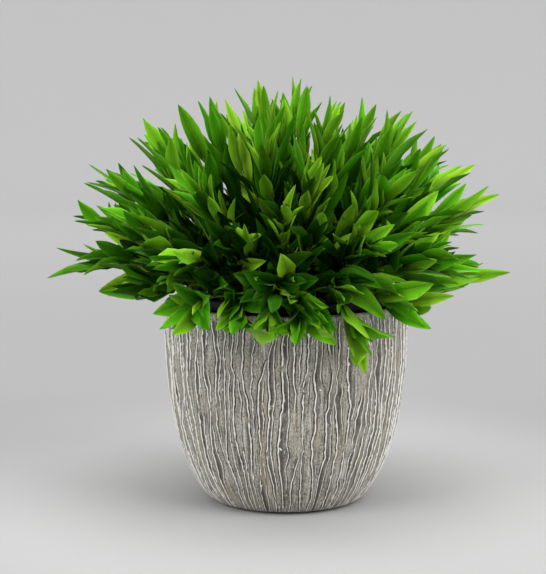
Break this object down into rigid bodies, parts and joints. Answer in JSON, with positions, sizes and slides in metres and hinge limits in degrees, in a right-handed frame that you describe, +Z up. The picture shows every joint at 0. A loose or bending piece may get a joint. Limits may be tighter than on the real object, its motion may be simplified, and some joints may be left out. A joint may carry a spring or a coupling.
{
  "type": "potted pogonatherum",
  "caption": "Dome of leafy bamboo-like grass culms in a nursery pot, standing in a round ridged stoneware cover pot.",
  "frame": {"origin": "centre of the cover pot's flat foot", "axes": "+Z up along the pot's axis, -Y towards the side that the picture shows, +X to its right"},
  "size_m": [0.2935, 0.3066, 0.2749],
  "materials": {
    "stoneware": "matt, sandy, with cream ridges",
    "black_plastic": "satin",
    "peat": "rough, moist potting soil",
    "leaf_green": "semi-gloss living leaf"
  },
  "bodies": {
    "root": {"cover_pot": "stoneware", "nursery_pot": "black_plastic", "soil": "peat", "leafy_stem_01": "leaf_green", "leafy_stem_02": "leaf_green", "leafy_stem_03": "leaf_green", "leafy_stem_04": "leaf_green", "leafy_stem_05": "leaf_green", "leafy_stem_06": "leaf_green", "leafy_stem_07": "leaf_green", "leafy_stem_08": "leaf_green", "leafy_stem_09": "leaf_green", "leafy_stem_10": "leaf_green", "leafy_stem_11": "leaf_green", "leafy_stem_12": "leaf_green", "leafy_stem_13": "leaf_green", "leafy_stem_14": "leaf_green", "leafy_stem_15": "leaf_green", "leafy_stem_16": "leaf_green", "leafy_stem_17": "leaf_green", "leafy_stem_18": "leaf_green", "leafy_stem_19": "leaf_green", "leafy_stem_20": "leaf_green", "leafy_stem_21": "leaf_green", "leafy_stem_22": "leaf_green", "leafy_stem_23": "leaf_green", "leafy_stem_24": "leaf_green", "leafy_stem_25": "leaf_green", "leafy_stem_26": "leaf_green", "leafy_stem_27": "leaf_green", "leafy_stem_28": "leaf_green", "leafy_stem_29": "leaf_green", "leafy_stem_30": "leaf_green", "leafy_stem_31": "leaf_green", "leafy_stem_32": "leaf_green", "leafy_stem_33": "leaf_green", "leafy_stem_34": "leaf_green", "leafy_stem_35": "leaf_green", "leafy_stem_36": "leaf_green", "leafy_stem_37": "leaf_green", "leafy_stem_38": "leaf_green", "leafy_stem_39": "leaf_green", "leafy_stem_40": "leaf_green", "leafy_stem_41": "leaf_green", "leafy_stem_42": "leaf_green", "leafy_stem_43": "leaf_green", "leafy_stem_44": "leaf_green", "leafy_stem_45": "leaf_green", "leafy_stem_46": "leaf_green", "leafy_stem_47": "leaf_green", "leafy_stem_48": "leaf_green", "leafy_stem_49": "leaf_green", "leafy_stem_50": "leaf_green", "leafy_stem_51": "leaf_green", "leafy_stem_52": "leaf_green", "leafy_stem_53": "leaf_green", "leafy_stem_54": "leaf_green", "leafy_stem_55": "leaf_green", "leafy_stem_56": "leaf_green", "leafy_stem_57": "leaf_green"}
  },
  "joints": []
}
